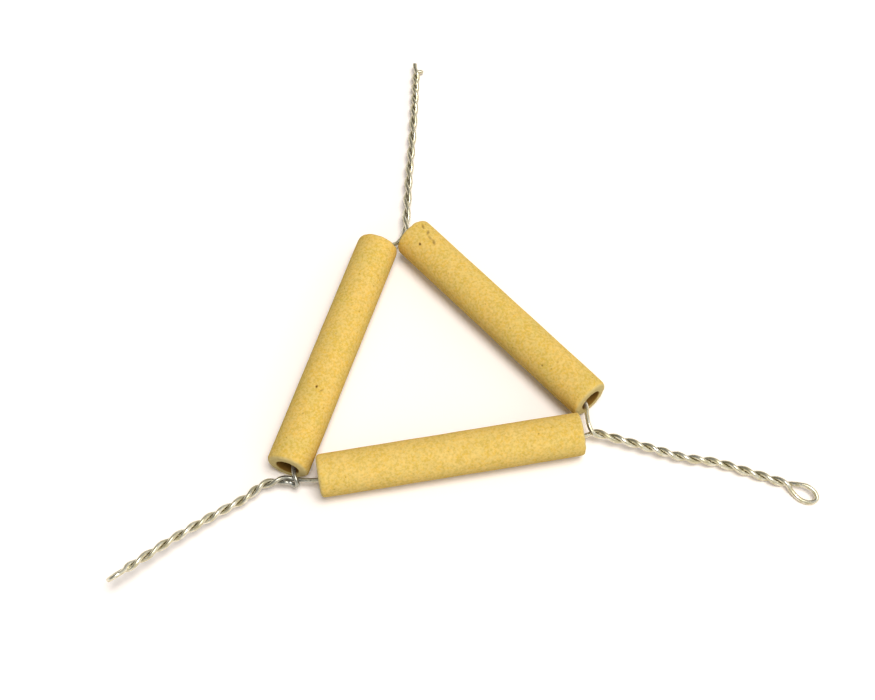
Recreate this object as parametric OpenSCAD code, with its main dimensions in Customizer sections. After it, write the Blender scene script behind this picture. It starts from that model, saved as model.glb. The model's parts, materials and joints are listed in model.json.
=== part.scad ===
// Pipe clay triangle: three clay tubes threaded on one twisted iron wire.
// The part rests on the plane z = 0, with the seat centre over the origin, the front tube along +X
// and +Z up. One wire makes the whole frame: cut end, left tube, left loop, front tube, right loop,
// right tube, second cut end. The two strands that meet at each corner are twisted into a stem.

/* [Clay tubes] */
// Outer diameter of every tube
tube_d = 9.7; // [6:0.1:16]
// Bore through every tube
bore_d = 5; // [3.4:0.1:8]
// Rounding of the outer edge at the tube ends
tube_edge = 0.8; // [0.2:0.1:1.5]
// Rounding of the bore edge at the tube ends
bore_edge = 0.3; // [0.1:0.1:0.8]
// Length of the left tube
left_len = 60.2; // [40:0.1:90]
// Length of the front tube
front_len = 58.8; // [40:0.1:90]
// Length of the right tube
right_len = 59.7; // [40:0.1:90]

/* [Triangle] */
// Clearance between a tube end and the side of the tube it meets
end_gap = 0.1; // [0:0.05:1]
// How far the left tube runs past the left corner
left_overrun = 4.4; // [0:0.1:8]
// How far the front tube runs past the right corner
front_overrun = 0.5; // [0:0.1:8]
// How far the right tube runs past the top corner
right_overrun = 0.7; // [0:0.1:8]

/* [Wire] */
// Wire diameter
wire_d = 1; // [0.6:0.05:2]
// Clearance between the two strands of a twist
strand_gap = 0.15; // [0.12:0.01:0.4]
// Clearance between the wire and the bore at the tube mouths
bore_gap = 0.3; // [0.2:0.01:1]

/* [Left stem] */
// Length of the twisted part
left_stem_len = 39.8; // [20:0.1:70]
// Length of half a turn of the twist
left_half_turn = 3.75; // [2.5:0.01:8]
// Pace of the twist: share of the length, share of the turns
left_pace = [[0, 0], [0.25, 0.273], [0.5, 0.523], [0.75, 0.768], [1, 1]];
// Distance from the end of the left tube to the stem root
left_root_past = 1.36; // [0.5:0.01:5]
// Distance of the root from that tube's axis, toward the seat
left_root_in = 1.84; // [-4:0.01:4]
// Turn of the stem off the line from the seat centre through the corner
left_stem_turn = -8.5; // [-40:0.5:40]
// Course of the stem: share of its length, sideways shift, height from lying, 0, to tube axes, 1
left_course = [
    [0, 0, 0.6], [0.16, -2.4, 0.54], [0.27, -1.75, 0.54],
    [0.45, -1.7, 0.67], [0.72, -1.1, 1.01], [1, 0, 1.3]
];
// Length of the loop past the twist
left_loop_len = 5.2; // [3:0.1:15]
// Width of the opening in the loop
left_loop_w = 1.8; // [1:0.1:7]

/* [Right stem] */
// Length of the twisted part
right_stem_len = 43.2; // [20:0.1:70]
// Length of half a turn of the twist
right_half_turn = 3.65; // [2.5:0.01:8]
// Pace of the twist: share of the length, share of the turns
right_pace = [[0, 0], [0.25, 0.249], [0.5, 0.51], [0.75, 0.76], [1, 1]];
// Distance from the end of the front tube to the stem root
right_root_past = 2.6; // [0.5:0.01:5]
// Distance of the root from that tube's axis, toward the seat
right_root_in = 0.61; // [-4:0.01:4]
// Turn of the stem off the line from the seat centre through the corner
right_stem_turn = 3.2; // [-40:0.5:40]
// Course of the stem: share of its length, sideways shift, height from lying, 0, to tube axes, 1
right_course = [
    [0, 0, 0.59], [0.3, -0.1, 0.39], [0.48, -0.15, 0.25],
    [0.64, 0.7, 0.15], [0.81, 0.4, 0.09], [1, -0.1, 0.06]
];
// Length of the loop past the twist
right_loop_len = 7.5; // [4:0.1:15]
// Width of the opening in the loop
right_loop_w = 2.3; // [1:0.1:7]
// Turn of the loop off the line of the stem
right_loop_turn = -12; // [-40:1:40]

/* [Top stem] */
// Length of the twisted part
top_stem_len = 48.7; // [20:0.1:70]
// Length of half a turn of the twist
top_half_turn = 4.24; // [2.5:0.01:8]
// Pace of the twist: share of the length, share of the turns
top_pace = [[0, 0], [0.25, 0.211], [0.5, 0.443], [0.75, 0.676], [1, 1]];
// Distance from the end of the right tube to the stem root
top_root_past = 2.31; // [0.5:0.01:5]
// Distance of the root from that tube's axis, toward the seat
top_root_in = -0.05; // [-4:0.01:4]
// Turn of the stem off the line from the seat centre through the corner
top_stem_turn = -14.5; // [-40:0.5:40]
// Course of the stem: share of its length, sideways shift, height from lying, 0, to tube axes, 1
top_course = [[0, 0, 0.62], [0.35, 0.1, 0.38], [0.65, -0.1, 0.23], [1, 0, 0.18]];
// Length of the longer cut end
top_long_end = 2.6; // [1:0.1:10]
// Length of the shorter cut end
top_short_end = 1.9; // [1:0.1:10]

/* [Hidden] */
$fn = 96;
up = [0, 0, 1];
tube_r = tube_d / 2;
// Spacing of the wire's cross sections and number of its sides
ring_step = 0.9;
sides = 8;
strand_r = (wire_d + strand_gap) / 2;
// Height of the axis of a stem that lies on the resting plane
lying = strand_r + wire_d / 2;
// How far the wire centre may sit off the bore centre
bore_free = (bore_d - wire_d) / 2 - bore_gap;

// Bends between stem and bore, from the stem outwards and in wire diameters: along the stem from its
// root, sideways, up
left_over = [[1, 0.35, -0.6], [0.15, 1.8, -0.3], [-0.2, 1.1, 0.65], [-0.35, 0.1, 0.9]];
left_under = [[-0.6, 0.4, -0.35], [-1.7, 1.5, -0.25], [-2.9, 2.3, -0.2]];
right_over = [[0.6, -0.62, 0.15], [-0.45, 0, 0.8], [-1.1, 0.8, 1.1], [-2, 2.7, 1.25]];
right_under = [[-0.5, -0.3, -0.5]];
top_over = [[0.6, -0.5, 0.7]];
top_under = [[-0.2, 0.45, -0.4], [-1.6, 1, -0.4], [-2.7, 1.75, -0.3]];
// Where the wire runs in the bore: depth, share of the free radius toward the seat, share upward
left_low_bore = [[4, 0.5, 0.1], [0.2, 0.8, -0.4]];
left_high_bore = [[4, 0.3, -0.5], [0.2, 0.65, -0.55]];
front_left_bore = [[4, -0.1, -0.7], [0.2, -0.1, -0.95]];
front_right_bore = [[4, 0, -0.7], [0.3, 0, -0.95]];
right_low_bore = [[4, 0.6, 0.1], [0.3, 0.8, -0.2]];
right_high_bore = [[4, -0.2, -0.2], [0.2, -0.1, -0.4]];
// Where along the stem each strand joins the even twist
left_over_start = 1.9 * wire_d;
left_under_start = 0.6 * wire_d;
right_over_start = 1.4 * wire_d;
right_under_start = 0.3 * wire_d;
top_over_start = 2.2 * wire_d;
top_under_start = 1.2 * wire_d;

function heading(a) = [cos(a), sin(a), 0];
function unit(v) = v / norm(v);
function backwards(list) = [for (i = [len(list) - 1:-1:0]) list[i]];
function trim(list, first, last) = [for (i = [first:len(list) - 1 - last]) list[i]];

// Triangle of the tubes' inner edges, moved so that the seat centre is the origin
left_side = left_len - left_overrun + end_gap;
front_side = front_len - front_overrun + end_gap;
right_side = right_len - right_overrun + end_gap;
left_angle = acos((left_side ^ 2 + front_side ^ 2 - right_side ^ 2) / (2 * left_side * front_side));
right_angle = acos((right_side ^ 2 + front_side ^ 2 - left_side ^ 2) / (2 * right_side * front_side));
seat = (left_side * [front_side, 0, 0] + front_side * left_side * heading(left_angle))
    / (left_side + front_side + right_side);
left_corner = -seat;
right_corner = [front_side, 0, 0] - seat;
top_corner = left_side * heading(left_angle) - seat;

// A tube: centre of its first end, direction, outward direction, length
function tube_at(corner, angle, side, start, length) =
    let (out = heading(angle + 90 * side))
    [corner + start * heading(angle) + tube_r * (out + up), heading(angle), out, length];

left_line = tube_at(left_corner, left_angle, 1, -left_overrun, left_len);
front_line = tube_at(left_corner, 0, -1, end_gap, front_len);
right_line = tube_at(right_corner, 180 - right_angle, -1, end_gap, right_len);

// Smooth course through a list whose first column is the share of the length
function slot(list, t, i = 0) = i >= len(list) - 2 || t < list[i + 1][0] ? i : slot(list, t, i + 1);
function slope(list, i) =
    let (a = max(i - 1, 0), b = min(i + 1, len(list) - 1))
    (list[b] - list[a]) / (list[b][0] - list[a][0]);
function blend(p, q, dp, dq, u) =
    p * (2 * u ^ 3 - 3 * u ^ 2 + 1) + dp * (u ^ 3 - 2 * u ^ 2 + u)
    + q * (3 * u ^ 2 - 2 * u ^ 3) + dq * (u ^ 3 - u ^ 2);
function smooth(list, t) =
    let (i = slot(list, t), w = list[i + 1][0] - list[i][0])
    blend(list[i], list[i + 1], w * slope(list, i), w * slope(list, i + 1), (t - list[i][0]) / w);

// A stem: root, direction angle, length, course, hand of the twist, first angle, half turn, pace.
// The root lies past end 0 or 1 of a tube, and off the tube's axis toward the seat.
function stem_at(corner, turn, line, end, past, inward, rest) =
    let (along = end * line[3] + (2 * end - 1) * past)
    concat([
        line[0] - tube_r * up + along * line[1] - inward * line[2],
        atan2(corner[1], corner[0]) + turn
    ], rest);

left_stem = stem_at(left_corner, left_stem_turn, left_line, 0, left_root_past, left_root_in,
    [left_stem_len, left_course, -1, 83, left_half_turn, left_pace]);
right_stem = stem_at(right_corner, right_stem_turn, front_line, 1, right_root_past, right_root_in,
    [right_stem_len, right_course, 1, 131, right_half_turn, right_pace]);
top_stem = stem_at(top_corner, top_stem_turn, right_line, 1, top_root_past, top_root_in,
    [top_stem_len, top_course, -1, 176, top_half_turn, top_pace]);

// A shift in the frame of a stem: along it, sideways and up
function shift(stem, p) = p[0] * heading(stem[1]) + p[1] * heading(stem[1] + 90) + p[2] * up;
function stem_axis(stem, s) =
    let (c = smooth(stem[3], s / stem[2]))
    stem[0] + shift(stem, [s, c[1], lying + c[2] * (tube_r - lying)]);
// Angle of the twist at a distance along the stem
function twist(stem, s) = stem[5] + 180 * stem[4] * stem[2] / stem[6] * smooth(stem[7], s / stem[2])[1];
function on_strand(stem, s, which) =
    let (
        a = twist(stem, s) + 180 * which,
        way = unit(stem_axis(stem, s + 0.1) - stem_axis(stem, s)),
        side = unit(cross(up, way))
    )
    stem_axis(stem, s) + strand_r * (cos(a) * side + sin(a) * cross(way, side));
function strand_way(stem, s, which) = unit(on_strand(stem, s + 0.01, which) - on_strand(stem, s, which));
function strand(stem, start, which) =
    let (n = ceil((stem[2] - start) / ring_step))
    [for (i = [0:n]) on_strand(stem, start + (stem[2] - start) * i / n, which)];

// A bend through a list of places, leaving along the first way and arriving along the last
function way_at(list, i, first, last) =
    i == 0 ? first : i == len(list) - 1 ? last
    : unit(unit(list[i] - list[i - 1]) * norm(list[i + 1] - list[i])
        + unit(list[i + 1] - list[i]) * norm(list[i] - list[i - 1]));
function bend(list, first, last, step) =
    concat([for (i = [0:len(list) - 2])
        let (
            w = norm(list[i + 1] - list[i]),
            a = w * way_at(list, i, first, last),
            b = w * way_at(list, i + 1, first, last),
            n = max(1, round(w / step))
        )
        for (j = [0:n - 1]) blend(list[i], list[i + 1], a, b, j / n)], [list[len(list) - 1]]);

// Places in a bore, end 0 or 1 of a tube, from its depth to its mouth
function in_bore(line, end, places) =
    let (mouth = line[0] + end * line[3] * line[1], inward = (1 - 2 * end) * line[1])
    [for (p = places) mouth + p[0] * inward - bore_free * p[1] * line[2] + bore_free * p[2] * up];

left_low = in_bore(left_line, 0, left_low_bore);
left_high = in_bore(left_line, 1, left_high_bore);
front_left = in_bore(front_line, 0, front_left_bore);
front_right = in_bore(front_line, 1, front_right_bore);
right_low = in_bore(right_line, 0, right_low_bore);
right_high = in_bore(right_line, 1, right_high_bore);

// From the stem into a bore, ending in line with the far end of that bore
function into_bore(stem, start, which, bends, bore, far) =
    let (places = [for (p = bends) stem_axis(stem, 0) + wire_d * shift(stem, p)])
    bend(concat([on_strand(stem, start, which)], places, backwards(bore)),
        -strand_way(stem, start, which), unit(far[0] - bore[0]), 0.6);

// Teardrop loop from strand 0 round to strand 1 at the end of a twist
function loop(stem, length, width, turn) =
    let (
        s = stem[2],
        a = on_strand(stem, s, 0),
        b = on_strand(stem, s, 1),
        way = strand_way(stem, s, 0),
        along = unit(stem_axis(stem, s) - stem_axis(stem, s - 0.5)),
        flat = atan2(along[1], along[0]) + turn,
        d = unit(heading(flat) + along[2] * up),
        across = unit(way - (way * d) * d),
        c = stem_axis(stem, s),
        shape = [[0.3, 0.62], [0.62, 1], [0.9, 0.62]],
        half = (width + wire_d) / 2,
        there = [for (p = shape) c + d * length * p[0] + across * half * p[1]],
        back = [for (p = backwards(shape)) c + d * length * p[0] - across * half * p[1]]
    )
    bend(concat([a], there, [c + d * length], back, [b]), way, -strand_way(stem, s, 1), 0.6);

// A cut end leaves the tip of the top stem, turned off its line by an angle
function cut_end(which, length, turn) =
    let (
        p = on_strand(top_stem, top_stem_len, which),
        way = heading(top_stem[1] + turn)
    )
    bend([p, p + length * way], strand_way(top_stem, top_stem_len, which), way, 0.6);

wire_path = concat(
    backwards(cut_end(1, top_long_end, 10)),
    trim(backwards(strand(top_stem, top_under_start, 1)), 1, 1),
    into_bore(top_stem, top_under_start, 1, top_under, left_high, left_low),
    backwards(into_bore(left_stem, left_over_start, 0, left_over, left_low, left_high)),
    trim(strand(left_stem, left_over_start, 0), 1, 1),
    loop(left_stem, left_loop_len, left_loop_w, 0),
    trim(backwards(strand(left_stem, left_under_start, 1)), 1, 1),
    into_bore(left_stem, left_under_start, 1, left_under, front_left, front_right),
    backwards(into_bore(right_stem, right_under_start, 1, right_under, front_right, front_left)),
    trim(strand(right_stem, right_under_start, 1), 1, 1),
    backwards(loop(right_stem, right_loop_len, right_loop_w, right_loop_turn)),
    trim(backwards(strand(right_stem, right_over_start, 0)), 1, 1),
    into_bore(right_stem, right_over_start, 0, right_over, right_low, right_high),
    backwards(into_bore(top_stem, top_over_start, 0, top_over, right_high, right_low)),
    trim(strand(top_stem, top_over_start, 0), 1, 1),
    cut_end(0, top_short_end, -70)
);

// Direction of a path at each place and a side direction carried along without twisting
function way_along(path) =
    [for (i = [0:len(path) - 1]) unit(path[min(i + 1, len(path) - 1)] - path[max(i - 1, 0)])];
function square_to(v, way) = unit(v - (v * way) * way);
function carried(ways) =
    [for (i = 0, v = square_to(up, ways[0]); i < len(ways);
        i = i + 1, v = i < len(ways) ? square_to(v, ways[i]) : v) v];

module sweep(path, d) {
    ways = way_along(path);
    ups = carried(ways);
    r = d / 2 * 1.02;
    last = len(path) - 1;
    corners = [for (i = [0:last]) for (j = [0:sides - 1])
        path[i] + r * (cos(360 * j / sides) * ups[i] + sin(360 * j / sides) * cross(ways[i], ups[i]))];
    walls = [for (i = [0:last - 1]) for (j = [0:sides - 1]) let (k = (j + 1) % sides)
        for (f = [[i * sides + j, (i + 1) * sides + k, i * sides + k],
            [i * sides + j, (i + 1) * sides + j, (i + 1) * sides + k]]) f];
    caps = [[for (j = [0:sides - 1]) j], [for (j = [sides - 1:-1:0]) last * sides + j]];
    polyhedron(corners, concat(walls, caps), convexity = 20);
}

// Half section of a tube wall with rounded ends
module wall_section(length) {
    bore_r = bore_d / 2;
    translate([bore_r + bore_edge, 0])
        square([tube_r - tube_edge - bore_r - bore_edge, length]);
    translate([bore_r, bore_edge])
        square([bore_edge, length - 2 * bore_edge]);
    translate([tube_r - tube_edge, tube_edge])
        square([tube_edge, length - 2 * tube_edge]);
    for (z = [bore_edge, length - bore_edge])
        translate([bore_r + bore_edge, z]) circle(bore_edge);
    for (z = [tube_edge, length - tube_edge])
        translate([tube_r - tube_edge, z]) circle(tube_edge);
}

module clay_tube(line) {
    translate(line[0])
        rotate([0, 90, atan2(line[1][1], line[1][0])])
            rotate_extrude()
                wall_section(line[3]);
}

module wire() {
    color("Silver")
        sweep(wire_path, wire_d);
}

module left_tube() {
    color("Goldenrod")
        clay_tube(left_line);
}

module front_tube() {
    color("Goldenrod")
        clay_tube(front_line);
}

module right_tube() {
    color("Goldenrod")
        clay_tube(right_line);
}

wire();
left_tube();
front_tube();
right_tube();
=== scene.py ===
"""A pipe clay triangle: three fired clay tubes threaded on one galvanised iron wire, on a white table."""

import json
import math

import bpy
import numpy as np
from mathutils import Matrix, Vector


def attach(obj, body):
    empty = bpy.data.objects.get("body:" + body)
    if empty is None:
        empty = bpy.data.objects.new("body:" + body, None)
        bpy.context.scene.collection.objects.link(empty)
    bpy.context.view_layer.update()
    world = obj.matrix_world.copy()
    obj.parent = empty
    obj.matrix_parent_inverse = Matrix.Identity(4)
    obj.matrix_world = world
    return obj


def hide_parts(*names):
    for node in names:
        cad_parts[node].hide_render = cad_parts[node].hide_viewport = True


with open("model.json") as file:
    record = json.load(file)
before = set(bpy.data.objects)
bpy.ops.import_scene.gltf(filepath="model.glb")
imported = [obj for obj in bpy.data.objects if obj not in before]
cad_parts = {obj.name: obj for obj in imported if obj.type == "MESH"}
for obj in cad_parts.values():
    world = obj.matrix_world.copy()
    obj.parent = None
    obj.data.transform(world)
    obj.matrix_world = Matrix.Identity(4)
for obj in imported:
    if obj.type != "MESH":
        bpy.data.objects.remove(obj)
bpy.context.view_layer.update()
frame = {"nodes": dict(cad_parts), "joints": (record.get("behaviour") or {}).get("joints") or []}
scene = bpy.context.scene

# The view. A long lens looks down on the part from beyond the front tube, a little to the
# left of square and slightly rolled. All lengths below are millimetres until a mesh is made, apart
# from the camera's clipping and the table, which are metres.
MM = 0.001
AZIMUTH, ELEVATION, ROLL = np.radians([-5.865, 62.103, -3.848])
TARGET = Vector((3.489, 7.253, 0.0)) * MM
DISTANCE = 368.914 * MM
SENSOR_WIDTH = 36
LENS = 65.8286
CLIP_NEAR, CLIP_FAR = 0.01, 20

back = Vector((
    math.sin(AZIMUTH) * math.cos(ELEVATION),
    -math.cos(AZIMUTH) * math.cos(ELEVATION),
    math.sin(ELEVATION),
))
level = Vector((math.cos(AZIMUTH), math.sin(AZIMUTH), 0.0))
above = back.cross(level)
rightward = level * math.cos(ROLL) + above * math.sin(ROLL)
upward = above * math.cos(ROLL) - level * math.sin(ROLL)
camera = bpy.data.objects.new("camera", bpy.data.cameras.new("camera"))
camera.data.sensor_width = SENSOR_WIDTH
camera.data.lens = LENS
camera.data.clip_start = CLIP_NEAR
camera.data.clip_end = CLIP_FAR
turned = Matrix((rightward, upward, back)).transposed().to_4x4()
camera.matrix_world = Matrix.Translation(TARGET + back * DISTANCE) @ turned
scene.collection.objects.link(camera)
scene.camera = camera


# ------------------------------------------------------------------ places taken from the frame
# Each clay tube's axis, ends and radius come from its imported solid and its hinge, and the corners
# of the open triangle are where the tubes' inner sides meet. The wire is laid from these.
UP = np.array([0.0, 0.0, 1.0])


def unit(v):
    """The same directions, each at length one."""
    return v / np.linalg.norm(v, axis=-1, keepdims=True)


def heading(angle):
    """Level unit vector at an angle in degrees from +X."""
    a = np.radians(angle)
    return np.array([np.cos(a), np.sin(a), 0.0])


def tube_line(name):
    """Axis of a tube: the hinge gives a place and a way, and the solid's farthest reaches along
    and across that way give the two ends and the radius."""
    hinge = next(j for j in frame["joints"] if j["child"] == name)
    way = unit(np.array(hinge["axis"]))
    centre = np.array(hinge["pos_m"]) / MM
    mesh = frame["nodes"][name].data
    points = np.zeros(len(mesh.vertices) * 3, np.float32)
    mesh.vertices.foreach_get("co", points)
    points = points.reshape(-1, 3) / MM - centre
    along = points @ way
    out = centre * [1, 1, 0] - (centre @ way) * way
    return {
        "name": name,
        "first": centre + along.min() * way,
        "way": way,
        "out": unit(out),
        "length": along.max() - along.min(),
        "radius": np.linalg.norm(points - np.outer(along, way), axis=1).max(),
    }


left = tube_line("left_tube")
front = tube_line("front_tube")
right = tube_line("right_tube")


def corner(p, q):
    """Where the inner sides of two tubes meet on the table: two level lines, solved together."""
    a = (p["first"] - p["radius"] * p["out"])[:2]
    b = (q["first"] - q["radius"] * q["out"])[:2]
    t = np.linalg.solve(np.stack([p["way"][:2], -q["way"][:2]], axis=1), b - a)
    return np.append(a + t[0] * p["way"][:2], 0.0)


# ------------------------------------------------------------------ the wire
# One length of soft galvanised iron wire, about half a metre long. It starts at a cut end in the
# top stem, runs through the left, front and right tubes with a twisted and looped stem at each
# corner, and ends beside its start. It was twisted by hand, so no two stems are alike.
WIRE_D = 1.0
STRAND_GAP = 0.05
BORE_D = 5.0
BORE_GAP = 0.3
strand_r = (WIRE_D + STRAND_GAP) / 2
lying = strand_r + WIRE_D / 2
bore_free = (BORE_D - WIRE_D) / 2 - BORE_GAP


def cubic(p, q, dp, dq, u):
    """Cubic from p to q that leaves with slope dp and arrives with slope dq, as u goes from 0 to 1."""
    return (
        p * (2 * u**3 - 3 * u**2 + 1) + dp * (u**3 - 2 * u**2 + u)
        + q * (3 * u**2 - 2 * u**3) + dq * (u**3 - u**2)
    )


def course(knots, share):
    """Smooth course through knots whose first column is the share of the length: between two knots
    a cubic, whose slope at each knot is that of the line between the knots beside it."""
    k = np.array(knots, float)
    before = np.maximum(np.arange(len(k)) - 1, 0)
    after = np.minimum(np.arange(len(k)) + 1, len(k) - 1)
    slopes = (k[after] - k[before]) / (k[after, :1] - k[before, :1])
    i = np.clip(np.searchsorted(k[:, 0], share, side="right") - 1, 0, len(k) - 2)
    w = (k[i + 1, 0] - k[i, 0])[:, None]
    return cubic(k[i], k[i + 1], w * slopes[i], w * slopes[i + 1], (share - k[i, 0])[:, None] / w)


TWIST_STEP = 0.15
WAY_OVER = 0.1


class Stem:
    """Two strands twisted round a line. The line's root lies past an end of a tube, off the tube's
    axis toward the seat, and the line leaves at an angle to the one from the seat's centre. Its
    knots are shares of the length, sideways shifts, and heights from lying, 0, to the axes, 1.
    The strands start at a first angle and take a half turn in so many millimetres, to the right or
    left by the hand. The pace gives the share of the twist done at each share of the length, and
    strands 0 and 1 join the twist at their own starts."""

    def __init__(
        self, tube, end, past, inward, line_from, turn, length, knots, hand, first, half_turn, pace, starts
    ):
        along = end * tube["length"] + (2 * end - 1) * past
        root = tube["first"] + along * tube["way"] - inward * tube["out"]
        self.root = root * [1, 1, 0]
        radial = np.degrees(np.arctan2(line_from[1], line_from[0]))
        self.ahead, self.aside = heading(radial + turn), heading(radial + turn + 90)
        self.length, self.knots, self.pace = length, knots, pace
        self.first, self.whole = first, 180 * hand * length / half_turn
        self.starts = starts

    def shift(self, places):
        p = np.atleast_2d(np.array(places, float))
        return p[:, :1] * self.ahead + p[:, 1:2] * self.aside + p[:, 2:] * UP

    def axis(self, s):
        c = course(self.knots, s / self.length)
        height = lying + c[:, 2] * (front["radius"] - lying)
        return self.root + self.shift(np.column_stack([s, c[:, 1], height]))

    def strand(self, s, which):
        """Strand 0 or 1 at distances s: the line plus a radius turned by the pace of the twist."""
        s = np.atleast_1d(np.array(s, float))
        twist = self.whole * course(self.pace, s / self.length)[:, 1]
        turn = np.radians(self.first + 180 * which + twist)
        way = unit(self.axis(s + WAY_OVER) - self.axis(s))
        side = unit(np.cross(UP, way))
        return self.axis(s) + strand_r * (
            np.cos(turn)[:, None] * side + np.sin(turn)[:, None] * np.cross(way, side)
        )

    def way(self, s, which):
        return unit(self.strand(s + WAY_OVER / 10, which) - self.strand(s, which))[0]

    def run(self, which):
        """The twisted part of a strand, from its start to the stem's tip."""
        count = int(self.length / TWIST_STEP)
        return self.strand(np.linspace(self.starts[which], self.length, count), which)


BEND_STEP = 0.1


def bend(places, first, last):
    """Smooth bend through places: a cubic between each two, whose way at a place leans toward the
    nearer neighbour. It leaves along the first way and arrives along the last."""
    p = np.array(places, float)
    gap = np.linalg.norm(np.diff(p, axis=0), axis=1)
    chord = np.diff(p, axis=0) / gap[:, None]
    inner = unit(chord[:-1] * gap[1:, None] + chord[1:] * gap[:-1, None]) if len(p) > 2 else p[:0]
    ways = np.vstack([first, inner, last])
    stretches = []
    for i, w in enumerate(gap):
        u = np.arange(0, 1, BEND_STEP / w)[:, None]
        stretches.append(cubic(p[i], p[i + 1], w * ways[i], w * ways[i + 1], u))
    return np.vstack(stretches + [p[-1:]])


def in_bore(tube, end, places):
    """Places in a bore from its depth to its mouth, each a depth and two shares of the free radius."""
    mouth = tube["first"] + end * tube["length"] * tube["way"]
    inward = (1 - 2 * end) * tube["way"]
    p = np.array(places, float)
    return mouth + p[:, :1] * inward - bore_free * p[:, 1:2] * tube["out"] + bore_free * p[:, 2:] * UP


def into_bore(stem, which, bends, near, far):
    """From the stem round its corner and into a bore, lined up with the far end of that bore. The
    bends are in wire diameters from the stem's root: along it, sideways and up."""
    corner_places = stem.axis(np.zeros(1)) + WIRE_D * stem.shift(bends)
    start = stem.starts[which]
    places = np.vstack([stem.strand(start, which), corner_places, near[::-1]])
    return bend(places, -stem.way(start, which), unit(far[0] - near[0]))


def loop(stem, length, opening, turn):
    """Teardrop loop that joins the two strands at the stem's tip, with an opening of that width."""
    s = stem.length
    a, b = stem.strand(s, 0)[0], stem.strand(s, 1)[0]
    tip, before = stem.axis(np.array([s, s - 0.5]))
    along = unit(tip - before)
    ahead = unit(heading(np.degrees(np.arctan2(along[1], along[0])) + turn) + along[2] * UP)
    way = stem.way(s, 0)
    across = unit(way - (way @ ahead) * ahead)
    half = (opening + WIRE_D) / 2
    shape = [(0.3, 0.62), (0.62, 1), (0.9, 0.62), (1, 0), (0.9, -0.62), (0.62, -1), (0.3, -0.62)]
    places = [tip + ahead * length * p + across * half * q for p, q in shape]
    return bend([a] + places + [b], way, -stem.way(s, 1))


def cut_end(which, length, turn):
    """A free end leaves the top stem's tip in a short bend, turned off the stem by an angle."""
    start = top_stem.strand(top_stem.length, which)[0]
    way = unit(top_stem.ahead * np.cos(np.radians(turn)) + top_stem.aside * np.sin(np.radians(turn)))
    return bend([start, start + length * way], top_stem.way(top_stem.length, which), way)


left_stem = Stem(
    tube=left, end=0, past=1.36, inward=1.84,
    line_from=corner(left, front), turn=-8.5, length=39.8,
    knots=[
        (0, 0, 0.6), (0.16, -2.4, 0.54), (0.27, -1.75, 0.54), (0.45, -1.7, 0.67), (0.72, -1.1, 1.01),
        (1, 0, 1.3),
    ],
    hand=-1, first=83, half_turn=3.75,
    pace=[(0, 0), (0.25, 0.273), (0.5, 0.523), (0.75, 0.768), (1, 1)], starts=(1.9, 0.6),
)
right_stem = Stem(
    tube=front, end=1, past=2.6, inward=0.61,
    line_from=corner(right, front), turn=3.2, length=43.2,
    knots=[
        (0, 0, 0.59), (0.3, -0.1, 0.39), (0.48, -0.15, 0.25), (0.64, 0.7, 0.15), (0.81, 0.4, 0.09),
        (1, -0.1, 0.06),
    ],
    hand=1, first=131, half_turn=3.65,
    pace=[(0, 0), (0.25, 0.249), (0.5, 0.51), (0.75, 0.76), (1, 1)], starts=(1.4, 0.3),
)
top_stem = Stem(
    tube=right, end=1, past=2.31, inward=-0.05,
    line_from=corner(left, right), turn=-14.5, length=48.7,
    knots=[(0, 0, 0.62), (0.35, 0.1, 0.38), (0.65, -0.1, 0.23), (1, 0, 0.18)],
    hand=-1, first=176, half_turn=4.24,
    pace=[(0, 0), (0.25, 0.211), (0.5, 0.443), (0.75, 0.676), (1, 1)], starts=(2.2, 1.2),
)
left_low = in_bore(left, 0, [(4, 0.5, 0.1), (0.2, 0.8, -0.4)])
left_high = in_bore(left, 1, [(4, 0.3, -0.5), (0.2, 0.65, -0.55)])
front_left = in_bore(front, 0, [(4, -0.1, -0.7), (0.2, -0.1, -0.95)])
front_right = in_bore(front, 1, [(4, 0, -0.7), (0.3, 0, -0.95)])
right_low = in_bore(right, 0, [(4, 0.6, 0.1), (0.3, 0.8, -0.2)])
right_high = in_bore(right, 1, [(4, -0.2, -0.2), (0.2, -0.1, -0.4)])

left_over = into_bore(
    left_stem, 0, [(1, 0.35, -0.6), (0.15, 1.8, -0.3), (-0.2, 1.1, 0.65), (-0.35, 0.1, 0.9)],
    left_low, left_high,
)
left_under = into_bore(
    left_stem, 1, [(-0.6, 0.4, -0.35), (-1.7, 1.5, -0.25), (-2.9, 2.3, -0.2)], front_left, front_right
)
right_over = into_bore(
    right_stem, 0, [(0.6, -0.62, 0.15), (-0.45, 0, 0.8), (-1.1, 0.8, 1.1), (-2, 2.7, 1.25)],
    right_low, right_high,
)
right_under = into_bore(right_stem, 1, [(-0.5, -0.3, -0.5)], front_right, front_left)
top_over = into_bore(top_stem, 0, [(0.6, -0.5, 0.7)], right_high, right_low)
top_under = into_bore(
    top_stem, 1, [(-0.2, 0.45, -0.4), (-1.6, 1, -0.4), (-2.7, 1.75, -0.3)], left_high, left_low
)

# Each stretch of the wire in order, and the stem that it is twisted into, if any
stretches = [
    (cut_end(which=1, length=2.6, turn=10)[::-1], None),
    (top_stem.run(1)[::-1], top_stem),
    (top_under, None),
    (left_over[::-1], None),
    (left_stem.run(0), left_stem),
    (loop(left_stem, length=5.2, opening=1.8, turn=0), None),
    (left_stem.run(1)[::-1], left_stem),
    (left_under, None),
    (right_under[::-1], None),
    (right_stem.run(1), right_stem),
    (loop(right_stem, length=7.5, opening=2.3, turn=-12)[::-1], None),
    (right_stem.run(0)[::-1], right_stem),
    (right_over, None),
    (top_over[::-1], None),
    (top_stem.run(0), top_stem),
    (cut_end(which=0, length=1.9, turn=-70), None),
]

# The stretches are joined without the doubled points where they meet, spaced evenly and eased a
# little, as wire takes no sharp corner
STEP = 0.17
EASE = 0.3
DOUBLED = 1e-4


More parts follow.
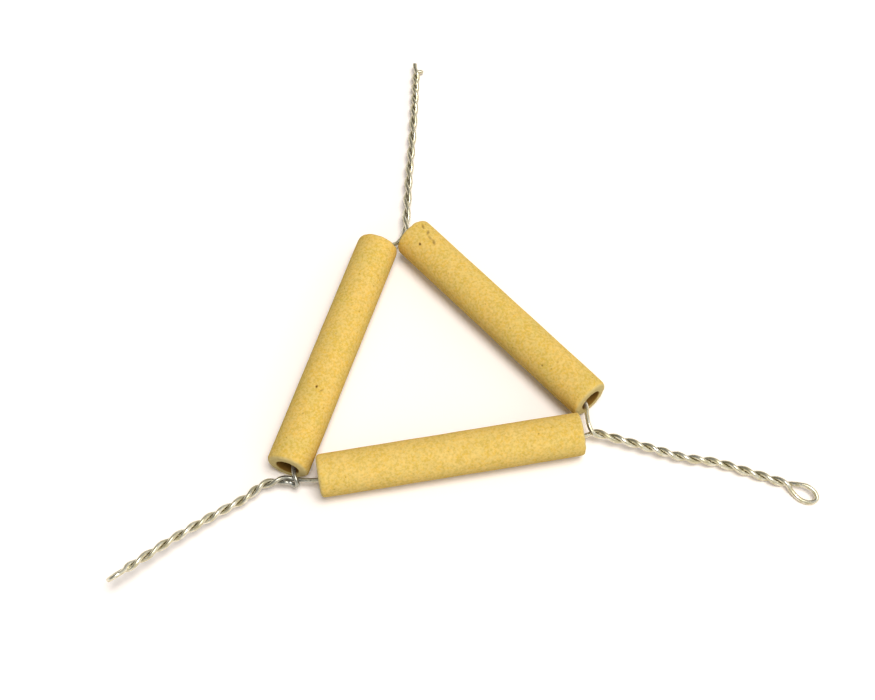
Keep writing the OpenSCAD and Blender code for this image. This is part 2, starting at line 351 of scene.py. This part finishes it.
def eased(values, width):
    """Each value becomes the mean of those round it, weighted by a bell curve of the given width in
    steps. Past an end the values go on as their mirror image through that end."""
    n = int(np.ceil(3 * width))
    bell = np.exp(-0.5 * (np.arange(-n, n + 1) / width) ** 2)
    bell /= bell.sum()
    before = 2 * values[:1] - values[n:0:-1]
    after = 2 * values[-1:] - values[-2:-n - 2:-1]
    padded = np.vstack([before, values, after])
    return np.stack([np.convolve(column, bell, "valid") for column in padded.T], axis=1)


def to_neighbour(part, stem):
    """Unit vectors toward the other strand along a twisted stretch, and zeros along a single one."""
    if stem is None:
        return np.zeros_like(part)
    return unit(stem.axis((part - stem.root) @ stem.ahead) - part)


def at_distances(values, known, wanted):
    """Rows of values known at some distances along the wire, read off at other distances."""
    return np.stack([np.interp(wanted, known, column) for column in values.T], axis=1)


raw = np.vstack([part for part, _ in stretches])
beside = np.vstack([to_neighbour(part, stem) for part, stem in stretches])
fresh = np.append(True, np.linalg.norm(np.diff(raw, axis=0), axis=1) > DOUBLED)
raw, beside = raw[fresh], beside[fresh]
reach = np.append(0, np.cumsum(np.linalg.norm(np.diff(raw, axis=0), axis=1)))
even = np.linspace(0, reach[-1], int(reach[-1] / STEP))
path = eased(at_distances(raw, reach, even), EASE / STEP)
beside = eased(at_distances(beside, reach, even), 2 * EASE / STEP)

# The wire's round section is carried along the path. One fixed way that the wire never runs along
# keeps the sections from turning, and the sheared ends are slanted and have a worn edge.
AROUND = 20
CUT_SLANT = 0.5
CUT_REACH = 0.8
CUT_EDGE = 0.12
CLEAR_WAY = unit(left_stem.aside + 1.7 * UP)


def mesh_object(name, points, faces):
    """A smooth-shaded object at the origin with the given points, in millimetres, and faces."""
    mesh = bpy.data.meshes.new(name)
    mesh.from_pydata(np.asarray(points) * MM, [], faces)
    mesh.polygons.foreach_set("use_smooth", np.full(len(mesh.polygons), True))
    piece = bpy.data.objects.new(name, mesh)
    scene.collection.objects.link(piece)
    return piece


def point_values(piece, name, kind, values):
    """Keeps a number or a vector for each point of a piece, which its material reads by name."""
    attribute = piece.data.attributes.new(name, kind, "POINT")
    field = "value" if kind == "FLOAT" else "vector"
    attribute.data.foreach_set(field, np.asarray(values, np.float32).ravel())


def grid_faces(rows, columns, closed):
    """Four-sided faces of a grid of points whose columns run round, and whose rows do too if closed."""
    i, j = np.meshgrid(np.arange(rows if closed else rows - 1), np.arange(columns), indexing="ij")
    i_next, j_next = (i + 1) % rows, (j + 1) % columns
    faces = np.stack(
        [i * columns + j, i * columns + j_next, i_next * columns + j_next, i_next * columns + j], axis=-1
    )
    return faces.reshape(-1, 4).tolist()


end_rings = CUT_EDGE * (1 - np.cos(np.linspace(0, np.pi / 2, 6)))
distance = np.unique(np.concatenate([end_rings, even, even[-1] - end_rings]))
path, beside = at_distances(path, even, distance), at_distances(beside, even, distance)
ways = unit(np.gradient(path, distance, axis=0))
side = unit(np.cross(CLEAR_WAY, ways))
over = np.cross(ways, side)
turn = np.arange(AROUND) * 2 * np.pi / AROUND
outward = np.cos(turn)[None, :, None] * side[:, None] + np.sin(turn)[None, :, None] * over[:, None]

# Toward a cut end the radius shrinks by a quarter circle, and one side of the section falls back
to_end = np.minimum(distance, distance[-1] - distance)
depth = 1 - np.clip(to_end / CUT_EDGE, 0, 1)
radius = WIRE_D / 2 - CUT_EDGE * (1 - np.sqrt(1 - depth**2))
into_wire = np.where(distance < distance[-1] / 2, 1, -1)
slant = CUT_SLANT * WIRE_D / 2 * into_wire * np.exp(-((to_end / CUT_REACH) ** 2))
fall_back = slant[:, None] * (1 + np.sin(turn))
points = path[:, None] + radius[:, None, None] * outward + fall_back[..., None] * ways[:, None]
rings = len(distance)
caps = [list(range(AROUND))[::-1], list(range((rings - 1) * AROUND, rings * AROUND))]
wire = mesh_object("twisted_wire", points.reshape(-1, 3), grid_faces(rings, AROUND, False) + caps)
# Painted shade on the side of each strand that faces the other one
point_values(wire, "groove", "FLOAT", np.clip((outward * beside[:, None]).sum(2), 0, 1))
skin_place = np.stack([
    np.broadcast_to(np.cos(turn) * WIRE_D / 2, (rings, AROUND)),
    np.broadcast_to(np.sin(turn) * WIRE_D / 2, (rings, AROUND)),
    np.broadcast_to(distance[:, None], (rings, AROUND)),
], axis=-1)
point_values(wire, "drawn", "FLOAT_VECTOR", skin_place * MM)

# Two places differ in tone: the left corner, out to a few millimetres, is painted in shade, and the
# top stem is greyer from a fifth of its length on
CORNER_SHADE_REACH = 6.5
GREYER_FROM = 0.2
from_corner = np.linalg.norm(path - left_stem.root, axis=1)
# Painted shade round the left corner, fading out over a few millimetres
corner_shade = np.exp(-((from_corner / CORNER_SHADE_REACH) ** 2))
point_values(wire, "corner_shade", "FLOAT", np.repeat(corner_shade, AROUND))
# The top stem grows greyer from its root up to a fifth of its length, and stays so beyond
up_stem = (path[:, 1] - top_stem.root[1]) / (path[:, 1].max() - top_stem.root[1])
top_stem_greyer = np.clip(up_stem / GREYER_FROM, 0, 1)
point_values(wire, "top_stem_greyer", "FLOAT", np.repeat(top_stem_greyer, AROUND))


def material(name):
    """A new material: itself, its node tree and its Principled BSDF."""
    made = bpy.data.materials.new(name)
    made.use_nodes = True
    return made, made.node_tree, made.node_tree.nodes["Principled BSDF"]


def node(tree, kind, inputs=(), **settings):
    """A node of a kind in a tree. Inputs are pairs of a socket and a value or another's output."""
    added = tree.nodes.new(kind)
    for setting, value in settings.items():
        setattr(added, setting, value)
    for socket, value in inputs:
        if isinstance(value, bpy.types.NodeSocket):
            tree.links.new(value, added.inputs[socket])
        else:
            added.inputs[socket].default_value = value
    return added


def maths(tree, operation, a, b):
    """The output of a Math node, held between 0 and 1."""
    settings = {"operation": operation, "use_clamp": True}
    return node(tree, "ShaderNodeMath", [(0, a), (1, b)], **settings).outputs[0]


def linear(r, g, b):
    """A display colour of 0 to 255 as the light that it stands for."""
    c = np.array([r, g, b]) / 255
    return [*np.where(c <= 0.04045, c / 12.92, ((c + 0.055) / 1.055) ** 2.4).tolist(), 1.0]


def mix_colour(tree, share, a, b):
    """The output of a colour mix that goes from a to b with the share."""
    return node(tree, "ShaderNodeMix", [(0, share), (6, a), (7, b)], data_type="RGBA").outputs[2]


def rise(tree, value, low, high):
    """Zero where the value is at low, one at high, and a smooth rise between."""
    limits = [(0, value), (1, low), (2, high)]
    return node(tree, "ShaderNodeMapRange", limits, interpolation_type="SMOOTHSTEP").outputs[0]


# Shared effect: cloudy patches of one size, as a mask of 0 to 1. A small width makes hard edges.
patches = bpy.data.node_groups.new("patches", "ShaderNodeTree")
for socket in ("Place", "Per Metre", "Roughness", "Width"):
    kind = "NodeSocketVector" if socket == "Place" else "NodeSocketFloat"
    patches.interface.new_socket(socket, in_out="INPUT", socket_type=kind)
patches.interface.new_socket("Mask", in_out="OUTPUT", socket_type="NodeSocketFloat")
given = patches.nodes.new("NodeGroupInput").outputs
cloud = node(patches, "ShaderNodeTexNoise", [
    ("Vector", given["Place"]), ("Scale", given["Per Metre"]), ("Detail", 3.0),
    ("Roughness", given["Roughness"]),
]).outputs[0]
none_at = maths(patches, "SUBTRACT", 0.5, given["Width"])
full_at = maths(patches, "ADD", 0.5, given["Width"])
mask = rise(patches, cloud, none_at, full_at)
patches.links.new(mask, patches.nodes.new("NodeGroupOutput").inputs["Mask"])


def patch(tree, place, per_metre, roughness, width):
    """The mask of the shared patches at one size."""
    inputs = [("Place", place), ("Per Metre", per_metre), ("Roughness", roughness), ("Width", width)]
    return node(tree, "ShaderNodeGroup", node_tree=patches, inputs=inputs).outputs["Mask"]


def attribute(tree, name, output="Fac"):
    """What a piece keeps for each of its points under a name."""
    return node(tree, "ShaderNodeAttribute", attribute_name=name).outputs[output]


# Zinc dull in patches, with fine lines along it from drawing and painted shade between the strands.
# The left corner is painted in shade, a dull grey, and the top stem is mixed toward a greyer zinc.
BRIGHT_ZINC = linear(240, 235, 216)
DULL_ZINC = linear(208, 199, 164)
SCORED_ZINC = linear(180, 168, 122)
STRAND_SHADE = linear(124, 104, 52)
CORNER_SHADE_ZINC = linear(146, 146, 140)
GREYER_ZINC = linear(190, 182, 152)
LINES_ACROSS = 7000.0
LINES_STRETCH = (1.0, 1.0, 0.06)
zinc, tree, surface = material("galvanised_wire")
drawn = attribute(tree, "drawn", "Vector")
dull = patch(tree, drawn, per_metre=700.0, roughness=0.6, width=0.15)
stretched = node(tree, "ShaderNodeMapping", [("Vector", drawn), ("Scale", LINES_STRETCH)]).outputs[0]
lines = node(tree, "ShaderNodeTexNoise", [
    ("Vector", stretched), ("Scale", LINES_ACROSS), ("Detail", 2.0),
]).outputs[0]
scored = rise(tree, lines, 0.45, 0.75)
strand_shaded = rise(tree, attribute(tree, "groove"), 0.3, 0.95)
greying = maths(tree, "MULTIPLY", attribute(tree, "top_stem_greyer"), 0.6)
tone = mix_colour(tree, dull, BRIGHT_ZINC, DULL_ZINC)
tone = mix_colour(tree, scored, tone, SCORED_ZINC)
# Painted shade between the strands: darker where a strand faces the other one
tone = mix_colour(tree, strand_shaded, tone, STRAND_SHADE)
# Painted shade at the left corner: the wire there is mixed toward a dull grey
tone = mix_colour(tree, attribute(tree, "corner_shade"), tone, CORNER_SHADE_ZINC)
# The top stem is mixed toward a greyer, darker zinc
tone = mix_colour(tree, greying, tone, GREYER_ZINC)
tree.links.new(tone, surface.inputs["Base Color"])
surface.inputs["Metallic"].default_value = 0.85
rough = node(tree, "ShaderNodeMapRange", [(0, dull), (3, 0.22), (4, 0.36)]).outputs[0]
tree.links.new(rough, surface.inputs["Roughness"])
relief = node(tree, "ShaderNodeBump", [("Height", lines), ("Strength", 0.3), ("Distance", 0.00006)])
tree.links.new(relief.outputs[0], surface.inputs["Normal"])
wire.data.materials.append(zinc)
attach(wire, "wire_frame")
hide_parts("wire")


# ------------------------------------------------------------------ the clay tubes
# Extruded from buff pipe clay, cut to length, tumbled so that the ends are rounded, and fired
# without a glaze. The skin is sandy with a few pinholes and dents, and the cut ends are paler.
OUTER_EDGE = 0.8
BORE_EDGE = 0.3
AROUND_TUBE = 240
SKIN_STEP = 0.2
RIM_REACH = 0.9
PINHOLES = 90
PIT_DARKENS_BY = 0.25


def wall_outline(length, outer, inner):
    """Closed outline of the tube's wall, a row for each place: distance along the axis, radius, and
    the two parts of the outward normal. Four arcs, each a centre and an angle, are joined by
    straight rows: the far face, the bore, the near face and the skin."""
    arcs = []
    for centre, radius, angles, count in (
        ((length - OUTER_EDGE, outer - OUTER_EDGE), OUTER_EDGE, (90, 0), 11),
        ((length - BORE_EDGE, inner + BORE_EDGE), BORE_EDGE, (0, -90), 6),
        ((BORE_EDGE, inner + BORE_EDGE), BORE_EDGE, (-90, -180), 6),
        ((OUTER_EDGE, outer - OUTER_EDGE), OUTER_EDGE, (180, 90), 11),
    ):
        angle = np.radians(np.linspace(*angles, count))
        normal = np.stack([np.cos(angle), np.sin(angle)], axis=1)
        arcs.append(np.hstack([centre + radius * normal, normal]))
    rows = []
    for here, beyond, count in zip(arcs, arcs[1:] + arcs[:1], (14, 60, 14, int(length / SKIN_STEP))):
        share = np.linspace(0, 1, count)[1:-1, None]
        rows += [here, here[-1] + (beyond[0] - here[-1]) * share]
    return np.vstack(rows)


def waves(random, turn, along, count, per_turn, wavelength):
    """Gentle unevenness from 0 to 1: a sum of cosines that go round the tube a whole number of times
    and along it at random slants, each with a random start."""
    total = np.zeros(np.broadcast(turn, along).shape)
    for _ in range(count):
        times = random.integers(0, per_turn + 1)
        slant = 2 * np.pi * random.uniform(-1, 1) / wavelength
        total = total + np.cos(times * turn + slant * along + random.uniform(0, 2 * np.pi))
    return 0.5 + 0.5 * np.tanh(total / np.sqrt(count))


def dent(turn, along, radius, place):
    """Depth of an oval dent: its full depth in the middle and a smooth fall to nothing at its rim.
    A place is the distance along, the turn from the top, half the length, half the width, the lean
    of its length off the axis, and the depth."""
    at, angle, half_length, half_width, lean, depth = place
    z = along - at
    a = radius * (np.mod(turn - np.radians(angle) + np.pi, 2 * np.pi) - np.pi)
    c, s = np.cos(np.radians(lean)), np.sin(np.radians(lean))
    share = ((z * c + a * s) / half_length) ** 2 + ((a * c - z * s) / half_width) ** 2
    return depth * np.clip(1 - share, 0, 1) ** 1.5


def clay_tube(line, name, seed, pale, marks):
    """A tube as the wall's outline turned about the axis. The surface is pushed in along its normal
    by gentle waves, by wear that is deepest on the rims, by pinholes and by the marks. Pale is
    how far this tube's clay is mixed toward a paler tone."""
    random = np.random.default_rng(seed)
    rows = wall_outline(line["length"], line["radius"], BORE_D / 2)
    along, radius, end_part, side_part = (column[:, None] for column in rows.T)
    turn = (np.arange(AROUND_TUBE) * 2 * np.pi / AROUND_TUBE)[None]
    skin = np.clip(side_part, 0, 1)
    face = np.abs(end_part)
    bore = np.clip(-side_part, 0, 1)
    to_end = np.minimum(along, line["length"] - along)
    rim = np.exp(-((to_end / RIM_REACH) ** 2) - ((line["radius"] - radius) / RIM_REACH) ** 2)
    pushed = 0.05 * skin * waves(random, turn, along, count=24, per_turn=4, wavelength=9)
    pushed = pushed + 0.16 * rim * waves(random, turn, along, count=20, per_turn=14, wavelength=3)
    pushed = pushed + 0.06 * face * waves(random, turn, radius, count=30, per_turn=30, wavelength=0.8)
    pushed = pushed + 0.05 * bore * waves(random, turn, along, count=20, per_turn=6, wavelength=3)
    pits = np.zeros_like(pushed)
    for place in marks:
        pits = pits + skin * dent(turn, along, line["radius"], place)
    for _ in range(PINHOLES):
        size = 0.09 + 0.03 * random.exponential()
        place = (
            random.uniform(0, line["length"]), random.uniform(0, 360), size, 0.8 * size,
            random.uniform(0, 180), 0.4 * size,
        )
        pits = pits + skin * dent(turn, along, line["radius"], place)
    pushed = pushed + pits
    z, r = along - pushed * end_part, radius - pushed * side_part
    round_axis = np.cos(turn)[..., None] * UP + np.sin(turn)[..., None] * line["out"]
    points = line["first"] + z[..., None] * line["way"] + r[..., None] * round_axis
    faces = grid_faces(len(rows), AROUND_TUBE, True)
    if np.cross(line["way"], line["out"])[2] > 0:
        faces = [corners[::-1] for corners in faces]
    tube = mesh_object(name, points.reshape(-1, 3), faces)
    everywhere = np.ones_like(pushed)
    # Painted shade in the pinholes and dents, darker the deeper they are
    point_values(tube, "pit_shade", "FLOAT", np.clip(pits / PIT_DARKENS_BY, 0, 1))
    point_values(tube, "cut_face", "FLOAT", np.clip(face * 1.6 - 0.5, 0, 1) * everywhere)
    # Painted shade in the bore: its clay is mixed toward a dark brown
    point_values(tube, "bore_shade", "FLOAT", bore * everywhere)
    point_values(tube, "pale", "FLOAT", pale * everywhere)
    tube.data.materials.append(clay)
    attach(tube, line["name"])
    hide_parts(line["name"])


# Buff clay: tone that drifts over millimetres, sand grains of three tones, and iron specks in about
# one cell of eight. The grains' masks are halved or so, as a grain only tints the clay round it.
BUFF = linear(240, 196, 98)
DEEP_BUFF = linear(218, 187, 84)
PALE_CLAY = linear(255, 216, 122)
ORANGE_GRAIN = linear(234, 188, 70)
OLIVE_GRAIN = linear(206, 175, 84)
WHITE_SAND = linear(252, 220, 142)
IRON_SPECK = linear(168, 130, 56)
CUT_CLAY = linear(220, 198, 134)
BORE_SHADE_CLAY = linear(138, 100, 36)
PIT_SHADE_CLAY = linear(104, 66, 12)
SPECK_CELLS = 700.0
clay, tree, surface = material("fired_clay")
place = node(tree, "ShaderNodeTexCoord").outputs["Object"]
elsewhere = node(tree, "ShaderNodeMapping", [("Vector", place), ("Location", (1, 2, 3))]).outputs[0]
drift = patch(tree, place, per_metre=180.0, roughness=0.4, width=0.2)
orange = maths(tree, "MULTIPLY", patch(tree, place, 600.0, 0.6, 0.14), 0.7)
olive = maths(tree, "MULTIPLY", patch(tree, elsewhere, 1100.0, 0.7, 0.1), 0.5)
sand = maths(tree, "MULTIPLY", patch(tree, place, 1800.0, 0.6, 0.1), 0.4)
cells = node(tree, "ShaderNodeTexVoronoi", [("Vector", place), ("Scale", SPECK_CELLS)])
draw = node(tree, "ShaderNodeSeparateColor", [(0, cells.outputs["Color"])]).outputs[0]
chosen = rise(tree, draw, 0.86, 0.9)
speck = maths(tree, "MULTIPLY", rise(tree, cells.outputs["Distance"], 0.17, 0.1), chosen)
speck = maths(tree, "MULTIPLY", speck, 0.6)
cut = maths(tree, "MULTIPLY", attribute(tree, "cut_face"), 0.85)
tone = mix_colour(tree, drift, BUFF, DEEP_BUFF)
tone = mix_colour(tree, attribute(tree, "pale"), tone, PALE_CLAY)
tone = mix_colour(tree, orange, tone, ORANGE_GRAIN)
tone = mix_colour(tree, olive, tone, OLIVE_GRAIN)
tone = mix_colour(tree, sand, tone, WHITE_SAND)
tone = mix_colour(tree, speck, tone, IRON_SPECK)
tone = mix_colour(tree, cut, tone, CUT_CLAY)
# Painted shade in the bore
tone = mix_colour(tree, attribute(tree, "bore_shade"), tone, BORE_SHADE_CLAY)
# Painted shade in the pinholes and dents
tone = mix_colour(tree, attribute(tree, "pit_shade"), tone, PIT_SHADE_CLAY)
tree.links.new(tone, surface.inputs["Base Color"])
surface.inputs["Roughness"].default_value = 0.92
surface.inputs["Specular IOR Level"].default_value = 0.25
grit = node(tree, "ShaderNodeTexNoise", [
    ("Vector", place), ("Scale", 3200.0), ("Detail", 4.0), ("Roughness", 0.7),
]).outputs[0]
relief = node(tree, "ShaderNodeBump", [("Height", grit), ("Strength", 0.5), ("Distance", 0.00012)])
tree.links.new(relief.outputs[0], surface.inputs["Normal"])

clay_tube(left, "left_clay_tube", seed=11, pale=0.0, marks=[
    (18.6, -5, 0.46, 0.38, 0, 0.3),
    (18.1, -21, 0.95, 0.24, -40, 0.12),
    (14.6, -45, 0.22, 0.18, 0, 0.12),
    (32.3, 1, 0.26, 0.2, 30, 0.12),
    (44.2, 30, 0.24, 0.18, 0, 0.1),
])
clay_tube(front, "front_clay_tube", seed=12, pale=0.5, marks=[
    (46.8, 35, 0.24, 0.18, 0, 0.1),
    (32.2, 8, 0.2, 0.16, 0, 0.08),
    (23.5, 51, 0.2, 0.15, 20, 0.09),
    (20.6, 58, 0.22, 0.16, 0, 0.08),
])
clay_tube(right, "right_clay_tube", seed=13, pale=0.15, marks=[
    (58.4, 9, 0.34, 0.2, 60, 0.1),
    (57.5, 23, 1.15, 0.42, 32, 0.16),
    (55.4, 19, 1.15, 0.46, 56, 0.16),
    (53.9, 10, 1.1, 0.46, 5, 0.11),
    (52.4, 8, 1.1, 0.5, 32, 0.15),
    (54.45, -23.5, 0.42, 0.4, 0, 0.3),
    (51.7, -14, 0.2, 0.18, 0, 0.08),
    (44.2, -29.5, 0.24, 0.2, 0, 0.1),
    (12.5, -41, 0.34, 0.3, 0, 0.2),
    (10.3, -6, 0.42, 0.24, 80, 0.1),
    (13.9, -7.5, 0.22, 0.18, 0, 0.07),
])


# ------------------------------------------------------------------ the table and the light
# A matt, slightly warm white table that looks pure white where it is lit and keeps the part's
# shadow. One soft far lamp stands high on the right. A dim sky fills in, darker above, behind and
# to the left, and white near the horizon so that it meets the table.
TABLE_HALF = 40.0
TABLE_LOOKS = (1.22, 1.13, 1.06, 1)
TABLE_BOUNCES = (0.42, 0.42, 0.42, 1)
table_corners = [(x * TABLE_HALF, y * TABLE_HALF, 0) for x, y in ((-1, -1), (1, -1), (1, 1), (-1, 1))]
table_mesh = bpy.data.meshes.new("table")
table_mesh.from_pydata(table_corners, [], [(0, 1, 2, 3)])
table = bpy.data.objects.new("table", table_mesh)
scene.collection.objects.link(table)
white, tree, surface = material("white_table")
tree.nodes.remove(surface)
ray = node(tree, "ShaderNodeLightPath").outputs
seen = maths(tree, "ADD", ray["Is Camera Ray"], ray["Is Glossy Ray"])
seen = maths(tree, "ADD", seen, ray["Is Transmission Ray"])
tone = mix_colour(tree, seen, TABLE_BOUNCES, TABLE_LOOKS)
matt = node(tree, "ShaderNodeBsdfDiffuse", [("Color", tone)])
tree.links.new(matt.outputs[0], tree.nodes["Material Output"].inputs["Surface"])
table_mesh.materials.append(white)

LAMP_AZIMUTH, LAMP_ELEVATION = np.radians([-32, 77])
LAMP_WIDTH = math.radians(30)
LAMP_STRENGTH = 1.95
toward_lamp = Vector((
    math.cos(LAMP_AZIMUTH) * math.cos(LAMP_ELEVATION),
    math.sin(LAMP_AZIMUTH) * math.cos(LAMP_ELEVATION),
    math.sin(LAMP_ELEVATION),
))
lamp = bpy.data.objects.new("lamp", bpy.data.lights.new("lamp", "SUN"))
lamp.data.angle = LAMP_WIDTH
lamp.data.energy = LAMP_STRENGTH
lamp.matrix_world = (-toward_lamp).to_track_quat("-Z", "Y").to_matrix().to_4x4()
scene.collection.objects.link(lamp)

SKY_MEAN = 0.53
SKY_LEAN = (0.36, -0.26, -0.24)
HORIZON_WHITE_BELOW = 0.2
HORIZON_ENDS_AT = 0.36
sky = bpy.data.worlds.new("sky")
scene.world = sky
sky.use_nodes = True
tree = sky.node_tree
toward = node(tree, "ShaderNodeTexCoord").outputs["Generated"]
lean = node(tree, "ShaderNodeVectorMath", [(0, toward), (1, SKY_LEAN)], operation="DOT_PRODUCT")
dim = node(tree, "ShaderNodeMath", [(0, lean.outputs["Value"]), (1, SKY_MEAN)], operation="ADD")
height = node(tree, "ShaderNodeSeparateXYZ", [(0, toward)]).outputs["Z"]
low = rise(tree, height, HORIZON_ENDS_AT, HORIZON_WHITE_BELOW)
strength = node(tree, "ShaderNodeMix", [(0, low), (2, dim.outputs[0]), (3, 1.0)])
tree.links.new(strength.outputs[0], tree.nodes["Background"].inputs["Strength"])
tree.nodes["Background"].inputs["Color"].default_value = (1, 1, 1, 1)

scene.view_settings.view_transform = "Standard"
